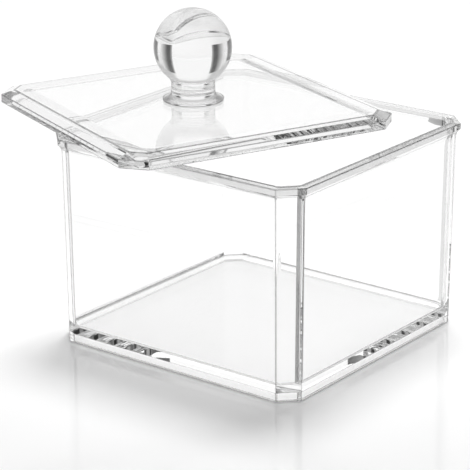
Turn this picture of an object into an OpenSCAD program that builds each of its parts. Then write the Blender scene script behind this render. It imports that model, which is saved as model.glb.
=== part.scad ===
// Storage box with lid: a clear moulded square box with cut corners, a separate bevelled lid
// and a ball knob bonded to the lid.
// Sizes are in millimetres. Z is up and the box stands on Z = 0.
// The front left wall faces -Y and the front right wall faces +X.

/* [Box] */
// Side of the square over the rim's lip
box_side = 95; // [80:1:120]
// Height from the table to the rim
box_height = 66.2; // [45:0.2:110]
// Thickness of the side walls
wall_thickness = 2.2; // [1.6:0.1:3]
// Leg of the corner cut, measured at the rim's lip
corner_cut = 6.6; // [5:0.1:10]
// How much each wall leans in from the rim down to the foot
wall_lean = 0.75; // [0.3:0.05:1.2]
// Reach of the rim's lip beyond the wall
lip_reach = 1.25; // [0.6:0.05:1.8]
// Height of the lip's outer face
lip_height = 1.9; // [1.2:0.1:3]
// Height of the flare below the lip
flare_height = 3.4; // [2:0.1:5]
// Height of the hollow under the floor
foot_height = 2.3; // [1.5:0.1:4]
// Thickness of the floor
floor_thickness = 2.3; // [1.6:0.1:4]

/* [Lid] */
// How much wider the lid is than the rim
lid_extra = 0.4; // [0:0.1:1]
// Height of the lid's outer edge
edge_height = 2.75; // [2:0.05:4]
// Width of the sloping border
bevel_width = 4; // [2.5:0.1:6]
// Rise of the sloping border
bevel_rise = 1.35; // [0.8:0.05:2]
// Width of the solid border, seen from below
border_width = 8; // [7:0.1:12]
// Depth of the hollow under the panel
panel_hollow = 1.4; // [0.6:0.1:2]
// Turn of the lid as it lies on the rim
lid_turn = -22.5; // [-40:0.5:0]
// Sideways shift of the lid from the middle of the box
lid_shift_x = -27; // [-30:0.1:0]
// Backward shift of the lid from the middle of the box
lid_shift_y = 1.3; // [-4:0.1:4]

/* [Knob] */
// Diameter of the ball
ball_diameter = 24.7; // [18:0.1:32]
// Diameter of the neck
neck_diameter = 13.9; // [10:0.1:16]
// Diameter of the foot
foot_diameter = 19.3; // [17.5:0.1:26]
// Height of the ball's centre over the lid
ball_height = 17; // [15:0.1:22]
// Height of the foot's thin edge
foot_edge = 0.6; // [0.4:0.05:1]

/* [Hidden] */
$fn = 96;
// How far a cut runs on past a face
slack = 10;
// Small overlap between two cuts that meet
overlap = 0.05;
// Share of the lip's reach that the flare's lower stage covers
lower_flare_share = 0.28;
// Share of the flare's height that its upper stage takes
upper_flare_share = 0.4;
// Share of the lip's reach left as a step under the lip
lip_step_share = 0.2;
// Least leg that a corner cut keeps
least_leg = 1;
// Leg growth of an octagon for each unit its sides move out
leg_gain = 2 - sqrt(2);
lip_half = box_side / 2;
wall_half = lip_half - lip_reach;
foot_half = wall_half - wall_lean;
wall_leg = corner_cut - lip_reach * leg_gain;
foot_leg = wall_leg - wall_lean * leg_gain;
lip_base = box_height - lip_height;
flare_base = lip_base - flare_height;
flare_middle = lip_base - flare_height * upper_flare_share;
lower_flare_reach = lip_reach * lower_flare_share;
lip_step = lip_reach * lip_step_share;
floor_top = foot_height + floor_thickness;
// Half side of the wall at a height, from the lean
function half_at(z) = foot_half + wall_lean * z / box_height;
function leg_at(z) = foot_leg + (half_at(z) - foot_half) * leg_gain;
flare_half = half_at(flare_base);
flare_leg = leg_at(flare_base);
inner_top_half = wall_half - wall_thickness;
inner_leg_loss = wall_thickness * leg_gain;
lid_half = lip_half + lid_extra / 2;
lid_leg = corner_cut;
hollow_half = lid_half - border_width;
hollow_leg = max(least_leg, lid_leg - border_width * leg_gain);
lid_top = edge_height + bevel_rise;
ball_radius = ball_diameter / 2;
neck_radius = neck_diameter / 2;
foot_radius = foot_diameter / 2;
cove_radius = foot_radius - neck_radius;

// Square with its four corners cut, lying flat
module cut_square(half, leg) {
    straight = half - leg;
    polygon([
        [straight, -half], [half, -straight], [half, straight], [straight, half],
        [-straight, half], [-half, straight], [-half, -straight], [-straight, -half]
    ]);
}

// Upright block with cut corners
module cut_block(half, leg, low, high) {
    translate([0, 0, low])
        linear_extrude(height = high - low)
            cut_square(half, leg);
}

// Block with cut corners whose eight faces lean evenly from one half side to another
module leaning_block(half_low, leg_low, half_high, low, high) {
    wide = max(half_low, half_high);
    tall = high - low;
    lean = atan2(half_high - half_low, tall);
    corner_low = (2 * half_low - leg_low) / sqrt(2);
    reach = 6 * wide;
    difference() {
        translate([-wide, -wide, low])
            cube([2 * wide, 2 * wide, tall]);
        for (side = [0:3]) {
            rotate([0, 0, 90 * side])
                translate([half_low, 0, low])
                    rotate([0, lean, 0])
                        translate([0, -reach / 2, -reach / 2])
                            cube(reach);
            rotate([0, 0, 45 + 90 * side])
                translate([corner_low, 0, low])
                    rotate([0, lean, 0])
                        translate([0, -reach / 2, -reach / 2])
                            cube(reach);
        }
    }
}

// Open box: leaning walls, flared lip at the rim, floor raised on a foot
module box() {
    color([0.94, 0.96, 0.97, 0.25])
        difference() {
            union() {
                leaning_block(foot_half, foot_leg, wall_half, 0, box_height);
                leaning_block(flare_half, flare_leg,
                    flare_half + lower_flare_reach, flare_base, flare_middle);
                leaning_block(flare_half + lower_flare_reach, flare_leg + lower_flare_reach * leg_gain,
                    lip_half - lip_step, flare_middle, lip_base);
                cut_block(lip_half, corner_cut, lip_base, box_height);
            }
            leaning_block(half_at(floor_top) - wall_thickness, leg_at(floor_top) - inner_leg_loss,
                inner_top_half, floor_top, box_height);
            cut_block(foot_half - wall_thickness, foot_leg - inner_leg_loss, -slack, foot_height);
            cut_block(inner_top_half, wall_leg - inner_leg_loss, box_height - overlap, box_height + slack);
        }
}

// Lid: solid border with a sloping top, raised flat panel hollowed from below
module lid() {
    color([0.94, 0.96, 0.97, 0.25])
        translate([lid_shift_x, lid_shift_y, box_height])
            rotate([0, 0, lid_turn])
                difference() {
                    union() {
                        cut_block(lid_half, lid_leg, 0, edge_height);
                        leaning_block(lid_half, lid_leg, lid_half - bevel_width, edge_height, lid_top);
                    }
                    cut_block(hollow_half, hollow_leg, -slack, panel_hollow);
                }
}

// Knob: ball on a short neck with a flared round foot, standing on the lid's panel
module knob() {
    color([0.94, 0.96, 0.97, 0.25])
        translate([lid_shift_x, lid_shift_y, box_height + lid_top])
            union() {
                translate([0, 0, ball_height])
                    sphere(r = ball_radius);
                cylinder(r = neck_radius, h = ball_height);
                difference() {
                    cylinder(r = foot_radius, h = foot_edge + cove_radius);
                    translate([0, 0, foot_edge + cove_radius])
                        rotate_extrude()
                            translate([foot_radius, 0])
                                circle(r = cove_radius);
                }
            }
}

box();
lid();
knob();
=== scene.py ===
import bmesh
import bpy
import math
from mathutils import Matrix, Vector


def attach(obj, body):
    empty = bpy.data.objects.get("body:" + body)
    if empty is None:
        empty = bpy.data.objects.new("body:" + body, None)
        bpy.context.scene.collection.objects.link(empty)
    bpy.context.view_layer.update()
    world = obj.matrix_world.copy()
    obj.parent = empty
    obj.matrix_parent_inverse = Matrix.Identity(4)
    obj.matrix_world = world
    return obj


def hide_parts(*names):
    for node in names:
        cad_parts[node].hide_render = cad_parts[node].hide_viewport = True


# Clear plastic box with a loose lid and a ball knob. Lengths are in millimetres until a mesh is made.

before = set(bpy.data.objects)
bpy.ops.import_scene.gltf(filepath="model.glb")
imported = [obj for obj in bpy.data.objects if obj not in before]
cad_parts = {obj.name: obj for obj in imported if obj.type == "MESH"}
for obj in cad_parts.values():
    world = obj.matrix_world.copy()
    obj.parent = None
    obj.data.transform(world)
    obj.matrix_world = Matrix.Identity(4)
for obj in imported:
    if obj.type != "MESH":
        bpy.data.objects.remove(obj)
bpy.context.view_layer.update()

MM = 0.001

# Camera solved from the photograph, in millimetres, degrees and pixels
IMAGE_SIDE = 470
FOCAL_PIXELS = 2223.88
CAMERA_DISTANCE = 707.993
CAMERA_YAW = 37.54
CAMERA_PITCH = 19.163
CAMERA_ROLL = -0.224
CAMERA_RIGHT_SHIFT = -7.641
CAMERA_UP_SHIFT = 29.31
SENSOR_WIDTH = 36

# Sizes of the part, in millimetres and degrees, as in its source
LIP_HALF = 47.5
BOX_HEIGHT = 66.2
WALL = 2.2
CORNER_CUT = 6.6
WALL_LEAN = 0.75
LIP_REACH = 1.25
LIP_HEIGHT = 1.9
FLARE_HEIGHT = 3.4
FOOT_HEIGHT = 2.3
FLOOR_THICKNESS = 2.3
LID_HALF = 47.7
EDGE_HEIGHT = 2.75
BEVEL_WIDTH = 4
BEVEL_RISE = 1.35
BORDER_WIDTH = 8
PANEL_HOLLOW = 1.4
LID_TURN = -22.5
LID_SHIFT_X = -27
LID_SHIFT_Y = 1.3
BALL_RADIUS = 12.35
NECK_RADIUS = 6.95
FOOT_RADIUS = 9.65
BALL_HEIGHT = 17
FOOT_EDGE = 0.6

# Least leg that a corner cut keeps
LEAST_LEG = 1
# Growth of a cut corner's leg for each millimetre its sides move out
LEG_GAIN = 2 - math.sqrt(2)
WALL_HALF = LIP_HALF - LIP_REACH
FOOT_HALF = WALL_HALF - WALL_LEAN
FLOOR_TOP = FOOT_HEIGHT + FLOOR_THICKNESS
LIP_BASE = BOX_HEIGHT - LIP_HEIGHT
FLARE_BASE = LIP_BASE - FLARE_HEIGHT
LID_TOP = EDGE_HEIGHT + BEVEL_RISE
UPPER_FLARE_SHARE = 0.4
LIP_STEP_SHARE = 0.2
# Share of the lip's reach that the flare's lower stage covers, less than in the source for a softer line
LOWER_FLARE_SHARE = 0.1

# Roundings that the moulding leaves on the edges
OUTER_CORNER_RADIUS = 0.5
INNER_CORNER_RADIUS = 2.2
INNER_FLOOR_RADIUS = 1.6
EDGE_RADIUS = 0.35
LOWER_FLARE_RADIUS = 8
UPPER_FLARE_RADIUS = 2.5
SHARP_RADIUS = 0.1
HOLLOW_TOP_RADIUS = 3
HOLLOW_BOTTOM_RADIUS = 1.5
PANEL_EDGE_RADIUS = 2.4
FOOT_INNER_RADIUS = 0.4
FOOT_RIM_RADIUS = 0.2
LID_BOTTOM_RADIUS = 0.3
STRIP_EDGE_RADIUS = 0.01
# Half the width of the sloping wall round the lid's hollow
HOLLOW_SLOPE = 1.6
# Width of the rim's top beside the inside, which takes a painted shade apart
RIM_STRIP = 1.4
# Steps in each rounded edge, in the foot's edge, in the neck's curve, up the ball and round the knob
EDGE_STEPS = 6
FOOT_STEPS = 4
COVE_STEPS = 12
BALL_STEPS = 64
KNOB_AROUND = 160
# Width of the flat ring between a rounded edge and the middle of a floor or panel
FLAT_RING = 5
# Gap that keeps two faces that touch apart
CONTACT_GAP = 0.02
# Length of the neck that bends into the ball, and the angle up the ball where the bend ends, in radians
NECK_BLEND = 0.9
BALL_START = 0.08
# Grey of the painted shade on the ball's top, and where it sets in over the ball's centre, as a share of the
# radius
TOP_SHADE = 0.72
TOP_SHADE_FROM = 0.7

# Places of some rounded corners in a ring, and of the sides that follow them, by which the painted shade differs
# from side to side
FRONT_LEFT_CORNER = 0
FRONT_RIGHT_CORNER = 1
BACK_CORNERS = (4, 5)
FRONT_RIGHT_SIDE = 1
BACK_SIDES = (3, 5)
# Kinds of face, each with a grey of its own: plain clear plastic, and painted shade on edges, the rim, dark lines
# and fillets
PLAIN = 0
EDGE_SHADE = 1
RIM_SHADE = 2
LINE_SHADE = 3
FILLET_SHADE = 4
# Kinds of face on the rim that take one of those painted shades by the side they are on
INSIDE_EDGE = 5
RIM_TOP = 6
# Material of each part of the knob: ball and foot with painted shade at grazing angles, the foot's bottom edge
# with a painted dark outline
BALL = 0
FOOT = 1
OUTLINE_SHADE = 2


def place_camera():
    yaw = math.radians(CAMERA_YAW)
    pitch = math.radians(CAMERA_PITCH)
    roll = math.radians(CAMERA_ROLL)
    back = Vector((math.sin(yaw) * math.cos(pitch), -math.cos(yaw) * math.cos(pitch), math.sin(pitch)))
    level = (-back).cross(Vector((0, 0, 1))).normalized()
    upward = level.cross(-back)
    right = math.cos(roll) * level + math.sin(roll) * upward
    up = -math.sin(roll) * level + math.cos(roll) * upward
    spot = back * CAMERA_DISTANCE + level * CAMERA_RIGHT_SHIFT + upward * CAMERA_UP_SHIFT
    data = bpy.data.cameras.new("camera")
    data.sensor_width = SENSOR_WIDTH
    data.lens = FOCAL_PIXELS * SENSOR_WIDTH / IMAGE_SIDE
    data.clip_start = 0.01
    data.clip_end = 100
    camera = bpy.data.objects.new("camera", data)
    bpy.context.scene.collection.objects.link(camera)
    turn = Matrix((right, up, back)).transposed()
    camera.matrix_world = Matrix.Translation(spot * MM) @ turn.to_4x4()
    bpy.context.scene.camera = camera


def rounded_profile(points, kinds):
    """Spots, ways they face and kinds along a rounded line through (half, height, radius) points."""
    spots = [tuple(points[0][:2])]
    first = Vector(points[1][:2]) - Vector(points[0][:2])
    heading = math.atan2(first.y, first.x)
    facing = [(math.sin(heading), -math.cos(heading))]
    made_kinds = []
    for i in range(1, len(points) - 1):
        corner = Vector(points[i][:2])
        radius = points[i][2]
        onward = Vector(points[i + 1][:2]) - corner
        inward = corner - Vector(points[i - 1][:2])
        heading = math.atan2(inward.y, inward.x)
        bend = -inward.angle_signed(onward)
        reach = radius * math.tan(abs(bend) / 2)
        start = corner - inward.normalized() * reach
        side = 1 if bend > 0 else -1
        centre = start + side * radius * Vector((-math.sin(heading), math.cos(heading)))
        for k in range(EDGE_STEPS + 1):
            angle = heading + bend * k / EDGE_STEPS
            spot = centre + side * radius * Vector((math.sin(angle), -math.cos(angle)))
            made_kinds.append(kinds[i - 1][0] if k == 0 else kinds[i][1])
            spots.append(tuple(spot))
            facing.append((math.sin(angle), -math.cos(angle)))
    made_kinds.append(kinds[-1][0])
    spots.append(tuple(points[-1][:2]))
    facing.append(facing[-1])
    return spots, facing, made_kinds


def cut_square_ring(half, leg, radius):
    """Points round a square with eight rounded corners, each with the way it faces."""
    straight = half - leg
    outline = [
        (straight, -half), (half, -straight), (half, straight), (straight, half),
        (-straight, half), (-half, straight), (-half, -straight), (-straight, -half),
    ]
    ring = []
    for i, point in enumerate(outline):
        first = math.radians(-90 + 45 * i)
        turn = math.radians(45)
        inward = Vector((math.cos(first) + math.cos(first + turn), math.sin(first) + math.sin(first + turn)))
        centre = Vector(point) - inward * radius / (1 + math.cos(turn))
        for k in range(EDGE_STEPS + 1):
            angle = first + turn * k / EDGE_STEPS
            facing = Vector((math.cos(angle), math.sin(angle)))
            ring.append((centre + radius * facing, facing))
    return ring


def loft(name, points, kinds, full_half, radius_at, painted_shade_at, spot, turn, materials):
    """Closed solid through cut-square rings that follow a rounded line, each face taking plain plastic or a
    painted shade by its kind and side.
    """
    spots, facing, kinds = rounded_profile(points, kinds)
    shape = bmesh.new()
    place = Matrix.Translation(Vector(spot) * MM) @ Matrix.Rotation(math.radians(turn), 4, "Z")
    rings = []
    normals = []
    for (half, height), (outward, upward) in zip(spots, facing):
        leg = max(LEAST_LEG, CORNER_CUT + (half - full_half) * LEG_GAIN)
        ring = []
        sharp = len(rings) == 0 or len(rings) == len(spots) - 1
        radius = 0 if sharp else radius_at(half, height, outward)
        for i, (point, way) in enumerate(cut_square_ring(half, leg, radius)):
            if sharp and i % (EDGE_STEPS + 1) > 0:
                ring.append(ring[-1])
                continue
            ring.append(shape.verts.new(place @ (Vector((point.x, point.y, height)) * MM)))
            normal = Vector((way.x * outward, way.y * outward, upward))
            normals.append((place.to_3x3() @ normal).normalized())
        rings.append(ring)
    around = len(rings[0])
    for k, (low, high, kind) in enumerate(zip(rings, rings[1:], kinds)):
        upright = abs(facing[k][1]) < 0.7
        inside = facing[k][0] < 0
        for i in range(around):
            j = (i + 1) % around
            corners = [low[i], low[j], high[j], high[i]]
            face = shape.faces.new(list(dict.fromkeys(corners)))
            in_corner = i % (EDGE_STEPS + 1) < EDGE_STEPS
            corner = i // (EDGE_STEPS + 1)
            face.material_index = painted_shade_at(kind, corner, in_corner, upright, inside)
    shape.faces.new(list(dict.fromkeys(reversed(rings[0]))))
    shape.faces.new(list(dict.fromkeys(rings[-1])))
    return finish_mesh(name, shape, normals, materials)


def revolve(name, profile, spot, materials, around):
    """Closed solid turned round an upright axis from (radius, height, facing, kind of the face above)."""
    shape = bmesh.new()
    base = Vector(spot)
    rings = []
    normals = []
    for radius, height, (outward, upward), _ in profile:
        count = 1 if radius < 1e-6 else around
        ring = []
        for i in range(count):
            angle = 2 * math.pi * i / around
            way = Vector((math.cos(angle), math.sin(angle), 0))
            ring.append(shape.verts.new((base + way * radius + Vector((0, 0, height))) * MM))
            normal = way * outward + Vector((0, 0, upward))
            normals.append(normal.normalized())
        rings.append(ring)
    for low, high, (_, _, _, kind) in zip(rings, rings[1:], profile):
        for i in range(around):
            j = (i + 1) % around
            if len(low) == 1:
                face = shape.faces.new((low[0], high[j], high[i]))
            elif len(high) == 1:
                face = shape.faces.new((low[i], low[j], high[0]))
            else:
                face = shape.faces.new((low[i], low[j], high[j], high[i]))
            face.material_index = kind
    return finish_mesh(name, shape, normals, materials)


def finish_mesh(name, shape, normals, materials):
    mesh = bpy.data.meshes.new(name)
    shape.to_mesh(mesh)
    shape.free()
    for polygon in mesh.polygons:
        polygon.use_smooth = True
    mesh.normals_split_custom_set_from_vertices(normals)
    piece = bpy.data.objects.new(name, mesh)
    bpy.context.scene.collection.objects.link(piece)
    for material in materials:
        mesh.materials.append(material)
    return piece


def painted_top_shade(nodes, links, place, height):
    """Painted grey shade that sets in above a height, in metres, with a mottled border."""
    split = nodes.new("ShaderNodeSeparateXYZ")
    links.new(place, split.inputs[0])
    mottle = nodes.new("ShaderNodeTexNoise")
    mottle.inputs["Scale"].default_value = 260
    mottle.inputs["Detail"].default_value = 3
    links.new(place, mottle.inputs["Vector"])
    rise = nodes.new("ShaderNodeMath")
    rise.operation = "MULTIPLY_ADD"
    rise.inputs[1].default_value = 6 * MM
    links.new(mottle.outputs["Fac"], rise.inputs[0])
    links.new(split.outputs["Z"], rise.inputs[2])
    clear_to = height + 3 * MM
    full_from = height + 7 * MM
    return ramp_over(nodes, links, rise.outputs[0], clear_to, full_from, [(clear_to, 1), (full_from, TOP_SHADE)])


def clear_plastic(name, tone_and_shade, grazing_shade=None, grazing_from=0.5, grazing_to=0.9, top_shade_from=None):
    """Clear polished plastic, if asked with painted shade at grazing angles and also a painted grey shade above a
    height.
    """
    material = bpy.data.materials.new(name)
    material.use_nodes = True
    nodes = material.node_tree.nodes
    links = material.node_tree.links
    shader = nodes["Principled BSDF"]
    shader.inputs["Base Color"].default_value = (*tone_and_shade, 1)
    shader.inputs["Transmission Weight"].default_value = 1
    shader.inputs["IOR"].default_value = 1.49
    shader.inputs["Roughness"].default_value = 0
    place = nodes.new("ShaderNodeTexCoord")
    noise = nodes.new("ShaderNodeTexNoise")
    noise.inputs["Scale"].default_value = 60
    noise.inputs["Detail"].default_value = 1
    bump = nodes.new("ShaderNodeBump")
    bump.inputs["Strength"].default_value = 0.02
    bump.inputs["Distance"].default_value = 0.0002
    links.new(place.outputs["Object"], noise.inputs["Vector"])
    links.new(noise.outputs["Fac"], bump.inputs["Height"])
    links.new(bump.outputs["Normal"], shader.inputs["Normal"])
    # Painted shade: darker towards grazing angles
    if grazing_shade is not None:
        weight = nodes.new("ShaderNodeLayerWeight")
        weight.inputs["Blend"].default_value = 0.5
        ramp = nodes.new("ShaderNodeValToRGB")
        elements = ramp.color_ramp.elements
        elements[0].position = grazing_from
        elements[0].color = (*tone_and_shade, 1)
        elements[1].position = grazing_to
        elements[1].color = (*grazing_shade, 1)
        links.new(weight.outputs["Facing"], ramp.inputs["Fac"])
        links.new(ramp.outputs["Color"], shader.inputs["Base Color"])
        # Painted grey shade over the ball's top
        if top_shade_from is not None:
            top_shade = painted_top_shade(nodes, links, place.outputs["Object"], top_shade_from)
            both = nodes.new("ShaderNodeMix")
            both.data_type = "RGBA"
            both.blend_type = "MULTIPLY"
            both.inputs["Factor"].default_value = 1
            links.new(ramp.outputs["Color"], both.inputs[6])
            links.new(top_shade, both.inputs[7])
            links.new(both.outputs[2], shader.inputs["Base Color"])
    return material


def plastic_set(name, tones_and_shades):
    return [clear_plastic(f"{name}_{kind}", (level, level, level)) for kind, level in tones_and_shades]


def dress(piece, node):
    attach(piece, "root")
    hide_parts(node)


def build_box():
    inner_top = WALL_HALF - WALL
    inner_bottom = FOOT_HALF - WALL + WALL_LEAN * FLOOR_TOP / BOX_HEIGHT
    flare_half = FOOT_HALF + WALL_LEAN * FLARE_BASE / BOX_HEIGHT
    flare_middle = LIP_BASE - FLARE_HEIGHT * UPPER_FLARE_SHARE
    foot_inside = FOOT_HALF - WALL
    points = [
        (foot_inside - FLAT_RING, FOOT_HEIGHT, 0),
        (foot_inside, FOOT_HEIGHT, FOOT_INNER_RADIUS),
        (foot_inside, 0, FOOT_RIM_RADIUS),
        (FOOT_HALF, 0, EDGE_RADIUS),
        (flare_half, FLARE_BASE, LOWER_FLARE_RADIUS),
        (flare_half + LIP_REACH * LOWER_FLARE_SHARE, flare_middle, UPPER_FLARE_RADIUS),
        (LIP_HALF - LIP_REACH * LIP_STEP_SHARE, LIP_BASE, SHARP_RADIUS),
        (LIP_HALF, LIP_BASE, SHARP_RADIUS),
        (LIP_HALF, BOX_HEIGHT, EDGE_RADIUS),
        (inner_top + RIM_STRIP, BOX_HEIGHT, STRIP_EDGE_RADIUS),
        (inner_top, BOX_HEIGHT, EDGE_RADIUS),
        (inner_bottom, FLOOR_TOP, INNER_FLOOR_RADIUS),
        (inner_bottom - FLAT_RING, FLOOR_TOP, 0),
    ]
    # Kind of the face that leaves each point, and of the rounded edge at it
    kinds = [
        (PLAIN, PLAIN), (PLAIN, PLAIN), (PLAIN, EDGE_SHADE), (PLAIN, LINE_SHADE), (PLAIN, PLAIN), (PLAIN, PLAIN),
        (RIM_SHADE, RIM_SHADE), (RIM_SHADE, RIM_SHADE), (RIM_TOP, EDGE_SHADE), (INSIDE_EDGE, PLAIN), (PLAIN, PLAIN), (PLAIN, PLAIN),
    ]

    def radius_at(half, height, outward):
        inside = height > FLOOR_TOP - 0.01 and (outward < -0.5 or half < inner_bottom + 0.01)
        return INNER_CORNER_RADIUS if inside else OUTER_CORNER_RADIUS

    # Painted shade by kind of face and by side: the front-right corner and side, the front-left corner and the
    # back each take their own dark greys or none
    def painted_shade_at(kind, corner, in_corner, upright, inside):
        if in_corner and upright and kind == PLAIN and corner not in BACK_CORNERS:
            if inside:
                return {FRONT_LEFT_CORNER: PLAIN, FRONT_RIGHT_CORNER: LINE_SHADE}.get(corner, FILLET_SHADE)
            return PLAIN if corner == FRONT_RIGHT_CORNER else EDGE_SHADE
        if kind == LINE_SHADE and corner in BACK_SIDES:
            return PLAIN
        if kind == RIM_TOP:
            return RIM_SHADE if corner == FRONT_RIGHT_SIDE else PLAIN
        if kind == INSIDE_EDGE:
            return LINE_SHADE if corner == FRONT_RIGHT_SIDE else FILLET_SHADE
        return kind

    # Greys of the box's kinds of face: plain clear, the others painted shade on edges, the rim, dark lines and
    # fillets
    tones_and_shades = [("plain", 1), ("edge", 0.3), ("rim", 0.55), ("line", 0.12), ("fillet", 0.5)]
    plastics = plastic_set("box", tones_and_shades)
    piece = loft("box_body", points, kinds, LIP_HALF, radius_at, painted_shade_at, (0, 0, 0), 0, plastics)
    dress(piece, "box")


def build_lid():
    hollow = LID_HALF - BORDER_WIDTH
    panel = LID_HALF - BEVEL_WIDTH
    points = [
        (hollow - FLAT_RING, PANEL_HOLLOW, 0),
        (hollow - HOLLOW_SLOPE, PANEL_HOLLOW, HOLLOW_TOP_RADIUS),
        (hollow + HOLLOW_SLOPE, 0, HOLLOW_BOTTOM_RADIUS),
        (LID_HALF, 0, LID_BOTTOM_RADIUS),
        (LID_HALF, EDGE_HEIGHT, EDGE_RADIUS),
        (panel, LID_TOP, PANEL_EDGE_RADIUS),
        (panel - FLAT_RING, LID_TOP, 0),
    ]
    kinds = [(PLAIN, PLAIN), (PLAIN, PLAIN), (PLAIN, PLAIN), (RIM_SHADE, EDGE_SHADE), (RIM_SHADE, EDGE_SHADE), (PLAIN, LINE_SHADE)]

    def radius_at(half, height, outward):
        return OUTER_CORNER_RADIUS

    # Painted shade on the rounded corners of the lid's outer sides
    def painted_shade_at(kind, corner, in_corner, upright, inside):
        if in_corner and upright and kind == PLAIN and not inside:
            return EDGE_SHADE
        return kind

    # Greys of the lid: plain clear plastic with a slight grey, the others painted shade on its outer side and
    # bevel, its rounded edges and the panel's dark line
    plastics = plastic_set("lid", [("plain", 0.93), ("edge", 0.35), ("rim", 0.88), ("line", 0.12)])
    piece = loft("lid_plate", points, kinds, LID_HALF, radius_at, painted_shade_at,
                 (LID_SHIFT_X, LID_SHIFT_Y, BOX_HEIGHT + CONTACT_GAP), LID_TURN, plastics)
    piece.visible_shadow = False
    dress(piece, "lid")


def build_knob():
    cove = FOOT_RADIUS - NECK_RADIUS
    edge = EDGE_RADIUS
    profile = [(0, 0, (0, -1), FOOT), (FOOT_RADIUS - edge, 0, (0, -1), FOOT)]
    # The foot's rounded bottom edge takes a painted dark outline
    for i in range(FOOT_STEPS + 1):
        angle = math.radians(90 * i / FOOT_STEPS)
        profile.append((FOOT_RADIUS - edge + edge * math.sin(angle), edge - edge * math.cos(angle),
                        (math.sin(angle), -math.cos(angle)), OUTLINE_SHADE if i < FOOT_STEPS else FOOT))
    profile.append((FOOT_RADIUS, FOOT_EDGE, (1, 0), FOOT))
    for i in range(COVE_STEPS + 1):
        angle = math.radians(90 * i / COVE_STEPS)
        profile.append((FOOT_RADIUS - cove * math.sin(angle), FOOT_EDGE + cove * (1 - math.cos(angle)),
                        (math.sin(angle), math.cos(angle)), FOOT))
    neck_top = BALL_HEIGHT - math.sqrt(BALL_RADIUS ** 2 - NECK_RADIUS ** 2)
    profile.append((NECK_RADIUS, neck_top - NECK_BLEND, (1, 0), FOOT))
    start = math.asin(NECK_RADIUS / BALL_RADIUS) + BALL_START
    for i in range(BALL_STEPS + 1):
        angle = start + (math.pi - start) * i / BALL_STEPS
        radius = BALL_RADIUS * math.sin(angle) if i < BALL_STEPS else 0
        profile.append((radius, BALL_HEIGHT - BALL_RADIUS * math.cos(angle),
                        (math.sin(angle), -math.cos(angle)), BALL))
    # Ball and foot darker at grazing angles, painted shade for the dark bands at their sides; the ball also with
    # painted grey shade on its top
    plastics = [
        clear_plastic("knob_ball", (0.93, 0.93, 0.93), (0.3, 0.3, 0.3), 0.72, 0.9,
                      (BOX_HEIGHT + LID_TOP + BALL_HEIGHT + TOP_SHADE_FROM * BALL_RADIUS) * MM),
        clear_plastic("knob_foot", (0.93, 0.93, 0.93), (0.45, 0.45, 0.45)),
        # Painted dark outline on the foot's bottom edge
        clear_plastic("knob_outline_shade", (0.12, 0.12, 0.12)),
    ]
    spot = (LID_SHIFT_X, LID_SHIFT_Y, BOX_HEIGHT + LID_TOP + 2 * CONTACT_GAP)
    piece = revolve("knob_ball", profile, spot, plastics, KNOB_AROUND)
    piece.visible_shadow = False
    dress(piece, "knob")


def build_floor():
    mesh = bpy.data.meshes.new("floor")
    half = 4
    drop = -0.00005
    mesh.from_pydata([(-half, -half, drop), (half, -half, drop), (half, half, drop), (-half, half, drop)],
                     [], [(0, 1, 2, 3)])
    floor = bpy.data.objects.new("floor", mesh)
    bpy.context.scene.collection.objects.link(floor)
    material = bpy.data.materials.new("floor")
    material.use_nodes = True
    shader = material.node_tree.nodes["Principled BSDF"]
    shader.inputs["Base Color"].default_value = (0.7, 0.7, 0.7, 1)
    shader.inputs["Roughness"].default_value = 0.1
    shader.inputs["Emission Color"].default_value = (1, 1, 1, 1)
    shader.inputs["Emission Strength"].default_value = 0.25
    floor.data.materials.append(material)


def direction(turn, height):
    """Unit vector at a turn to the right of straight ahead and a height above the level, in degrees."""
    yaw = math.radians(CAMERA_YAW - turn)
    rise = math.radians(height)
    return Vector((-math.sin(yaw) * math.cos(rise), math.cos(yaw) * math.cos(rise), math.sin(rise)))


# Dark cards aside of the knob: distance, lowest and highest edge, and a plain shade with soft edges over the turns
CARD_SHADES = [
    ("card", 320, 0, 195, [(20, 0.5), (23, 0.1), (27, 0.1), (40, 0.9)]),
    ("card_far", 200, 30, 125, [(48, 0.5), (54, 0.1), (96, 0.1)]),
]
# The same cards on both sides
CARDS = [(f"{name}_{side}", distance, low, high, [(sign * turn, level) for turn, level in turns])
         for name, distance, low, high, turns in CARD_SHADES
         for side, sign in (("left", -1), ("right", 1))]


def build_cards():
    """Shaded cards that only the plastic shows, as the dark gaps between the lamps of a studio."""
    material = bpy.data.materials.new("card")
    material.use_nodes = True
    nodes = material.node_tree.nodes
    shader = nodes["Principled BSDF"]
    shader.inputs["Base Color"].default_value = (0, 0, 0, 1)
    shader.inputs["Specular IOR Level"].default_value = 0
    shader.inputs["Emission Strength"].default_value = 1
    grey = nodes.new("ShaderNodeAttribute")
    grey.attribute_name = "grey"
    material.node_tree.links.new(grey.outputs["Color"], shader.inputs["Emission Color"])
    for name, distance, low, high, turns in CARDS:
        spots = []
        levels = []
        for turn, level in turns:
            for height in (low, high):
                spot = direction(turn, 0) * distance + Vector((LID_SHIFT_X, LID_SHIFT_Y, height))
                spots.append(tuple(spot * MM))
                levels.append(level)
        faces = [(2 * i, 2 * i + 2, 2 * i + 3, 2 * i + 1) for i in range(len(turns) - 1)]
        mesh = bpy.data.meshes.new(name)
        mesh.from_pydata(spots, [], faces)
        shades = mesh.color_attributes.new("grey", "FLOAT_COLOR", "POINT")
        for shade, level in zip(shades.data, levels):
            shade.color = (level, level, level, 1)
        card = bpy.data.objects.new(name, mesh)
        bpy.context.scene.collection.objects.link(card)
        mesh.materials.append(material)
        card.visible_camera = False
        card.visible_diffuse = False
        card.visible_shadow = False
        card.visible_glossy = False


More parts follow.
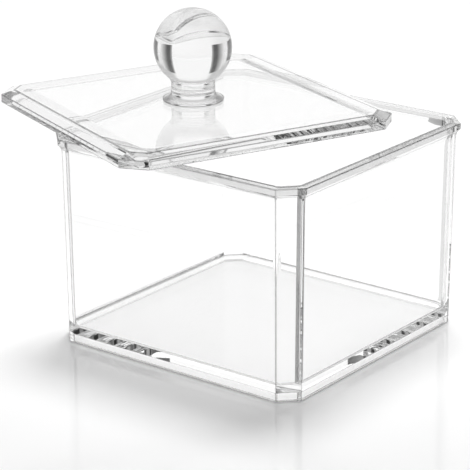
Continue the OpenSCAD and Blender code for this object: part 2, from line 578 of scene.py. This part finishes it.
def build_lamp():
    data = bpy.data.lights.new("key", "AREA")
    data.shape = "SQUARE"
    data.size = 0.35
    data.energy = 9
    lamp = bpy.data.objects.new("key", data)
    bpy.context.scene.collection.objects.link(lamp)
    toward = direction(20, 72)
    lamp.location = toward
    lamp.rotation_euler = toward.to_track_quat("Z", "Y").to_euler()
    lamp.visible_glossy = False
    lamp.visible_transmission = False


def ramp_over(nodes, links, source, low, high, points):
    """Grey level that follows a value through (value, level) points."""
    share = nodes.new("ShaderNodeMapRange")
    share.inputs["From Min"].default_value = low
    share.inputs["From Max"].default_value = high
    links.new(source, share.inputs["Value"])
    ramp = nodes.new("ShaderNodeValToRGB")
    elements = ramp.color_ramp.elements
    while len(elements) < len(points):
        elements.new(0.5)
    for element, (place, level) in zip(elements, points):
        element.position = (place - low) / (high - low)
        element.color = (level, level, level, 1)
    links.new(share.outputs["Result"], ramp.inputs["Fac"])
    return ramp.outputs["Color"]


# Lamps of a plain studio, alike on both sides: brightness, turns aside from straight ahead, heights
STUDIO_LAMPS = [
    (0.9, 0, 20, -90, 30),
    (0.8, 45, 65, -90, 10),
    (0.3, 75, 180, -90, 30),
    (0.7, 0, 180, 45, 90),
]
# Brightness between the lamps, and the width of their soft edges in degrees
GAP_LEVEL = 0.5
LAMP_EDGE = 8
# Strength of that pattern, of the soft light on the floor and the part, and what plastic sees on top of it
PATTERN_STRENGTH = 1.15
SOFT_STRENGTH = 0.15
PLASTIC_EXTRA = 0.9


def studio_level(nodes, links, aside, height):
    """Brightness of the studio at a turn to either side and a height."""
    level = None
    for brightness, near, far, low, high in STUDIO_LAMPS:
        across = ramp_over(nodes, links, aside, -LAMP_EDGE, 180 + LAMP_EDGE,
                           [(near - LAMP_EDGE, 0), (near, 1), (far, 1), (far + LAMP_EDGE, 0)])
        upward = ramp_over(nodes, links, height, -90 - LAMP_EDGE, 90 + LAMP_EDGE,
                           [(low - LAMP_EDGE, 0), (low, 1), (high, 1), (high + LAMP_EDGE, 0)])
        share = nodes.new("ShaderNodeMath")
        share.operation = "MULTIPLY"
        links.new(across, share.inputs[0])
        links.new(upward, share.inputs[1])
        mix = nodes.new("ShaderNodeMix")
        mix.data_type = "RGBA"
        mix.inputs[6].default_value = (GAP_LEVEL, GAP_LEVEL, GAP_LEVEL, 1)
        mix.inputs[7].default_value = (brightness, brightness, brightness, 1)
        links.new(share.outputs[0], mix.inputs["Factor"])
        if level is not None:
            links.new(level, mix.inputs[6])
        level = mix.outputs[2]
    return level


def build_world():
    world = bpy.data.worlds.new("studio")
    bpy.context.scene.world = world
    world.use_nodes = True
    world.cycles.sampling_method = "NONE"
    nodes = world.node_tree.nodes
    links = world.node_tree.links

    def math_node(operation, *sources):
        node = nodes.new("ShaderNodeMath")
        node.operation = operation
        for i, source in enumerate(sources):
            if isinstance(source, (int, float)):
                node.inputs[i].default_value = source
            else:
                links.new(source, node.inputs[i])
        return node.outputs[0]

    def share_along(way):
        node = nodes.new("ShaderNodeVectorMath")
        node.operation = "DOT_PRODUCT"
        node.inputs[1].default_value = way
        links.new(place.outputs["Generated"], node.inputs[0])
        return node.outputs["Value"]

    place = nodes.new("ShaderNodeTexCoord")
    height = math_node("DEGREES", math_node("ARCSINE", share_along((0, 0, 1))))
    sideways = share_along(direction(90, 0))
    ahead = share_along(direction(0, 0))
    turn = math_node("DEGREES", math_node("ARCTAN2", sideways, ahead))
    pattern = nodes.new("ShaderNodeBackground")
    links.new(studio_level(nodes, links, math_node("ABSOLUTE", turn), height), pattern.inputs["Color"])
    pattern.inputs["Strength"].default_value = PATTERN_STRENGTH

    soft = nodes["Background"]
    soft.inputs["Color"].default_value = (1, 1, 1, 1)
    path = nodes.new("ShaderNodeLightPath")
    level = math_node("MULTIPLY_ADD", path.outputs["Is Transmission Ray"], PLASTIC_EXTRA, SOFT_STRENGTH)
    links.new(level, soft.inputs["Strength"])
    backdrop = nodes.new("ShaderNodeBackground")
    backdrop.inputs["Color"].default_value = (1, 1, 1, 1)

    seen = math_node("MAXIMUM", path.outputs["Is Glossy Ray"], path.outputs["Is Transmission Ray"])
    direct = math_node("LESS_THAN", path.outputs["Diffuse Depth"], 0.5)
    lit = nodes.new("ShaderNodeMixShader")
    links.new(math_node("MULTIPLY", seen, direct), lit.inputs[0])
    links.new(soft.outputs[0], lit.inputs[1])
    links.new(pattern.outputs[0], lit.inputs[2])
    shown = nodes.new("ShaderNodeMixShader")
    links.new(path.outputs["Is Camera Ray"], shown.inputs[0])
    links.new(lit.outputs[0], shown.inputs[1])
    links.new(backdrop.outputs[0], shown.inputs[2])
    links.new(shown.outputs[0], nodes["World Output"].inputs["Surface"])


place_camera()
build_box()
build_lid()
build_knob()
build_floor()
build_cards()
build_lamp()
build_world()
bpy.context.scene.view_settings.view_transform = "Standard"
bpy.context.scene.cycles.max_bounces = 96
bpy.context.scene.cycles.transmission_bounces = 96
bpy.context.scene.cycles.glossy_bounces = 32
bpy.context.scene.cycles.blur_glossy = 0
